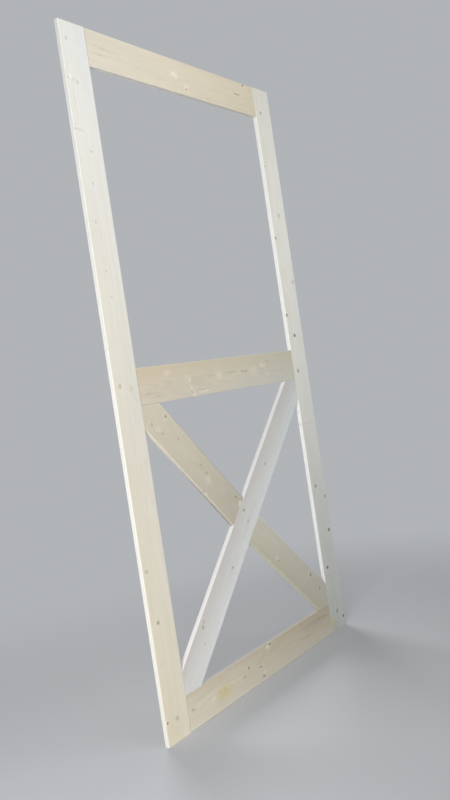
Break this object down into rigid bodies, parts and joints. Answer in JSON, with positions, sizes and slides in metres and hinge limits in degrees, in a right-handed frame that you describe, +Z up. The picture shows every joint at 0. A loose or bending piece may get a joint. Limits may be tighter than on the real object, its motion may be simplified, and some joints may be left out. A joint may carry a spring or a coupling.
{
  "type": "barn door leaf",
  "caption": "Open pine sliding door leaf: stiles and rails framing an empty upper opening over a lower panel filled by an X of flat braces, without glass or hardware.",
  "frame": {"origin": "middle of the bottom edge, halfway through the thickness", "axes": "+Z up along the stiles, -Y out of the front face, +X to the right seen from the front"},
  "size_m": [1, 0.016, 2.1],
  "materials": {
    "stile_pine": "planed, bare",
    "rail_pine": "planed, bare",
    "long_brace_pine": "planed, bare",
    "short_brace_pine": "planed, bare",
    "tenon_beech": "planed, bare"
  },
  "bodies": {
    "root": {"left_stile": "stile_pine", "right_stile": "stile_pine", "top_rail": "rail_pine", "middle_rail": "rail_pine", "bottom_rail": "rail_pine", "long_brace": "long_brace_pine", "upper_short_brace": "short_brace_pine", "lower_short_brace": "short_brace_pine", "tenon_upper_short_brace_to_long_brace": "tenon_beech", "tenon_lower_short_brace_to_long_brace": "tenon_beech", "tenon_bottom_rail_to_left_stile": "tenon_beech", "tenon_bottom_rail_to_right_stile": "tenon_beech", "tenon_middle_rail_to_left_stile": "tenon_beech", "tenon_middle_rail_to_right_stile": "tenon_beech", "tenon_top_rail_to_left_stile": "tenon_beech", "tenon_top_rail_to_right_stile": "tenon_beech", "tenon_long_brace_to_left_stile": "tenon_beech", "tenon_long_brace_to_bottom_rail": "tenon_beech", "tenon_long_brace_to_right_stile": "tenon_beech", "tenon_long_brace_to_middle_rail": "tenon_beech", "tenon_upper_short_brace_to_left_stile": "tenon_beech", "tenon_upper_short_brace_to_middle_rail": "tenon_beech", "tenon_lower_short_brace_to_right_stile": "tenon_beech", "tenon_lower_short_brace_to_bottom_rail": "tenon_beech"}
  },
  "joints": []
}
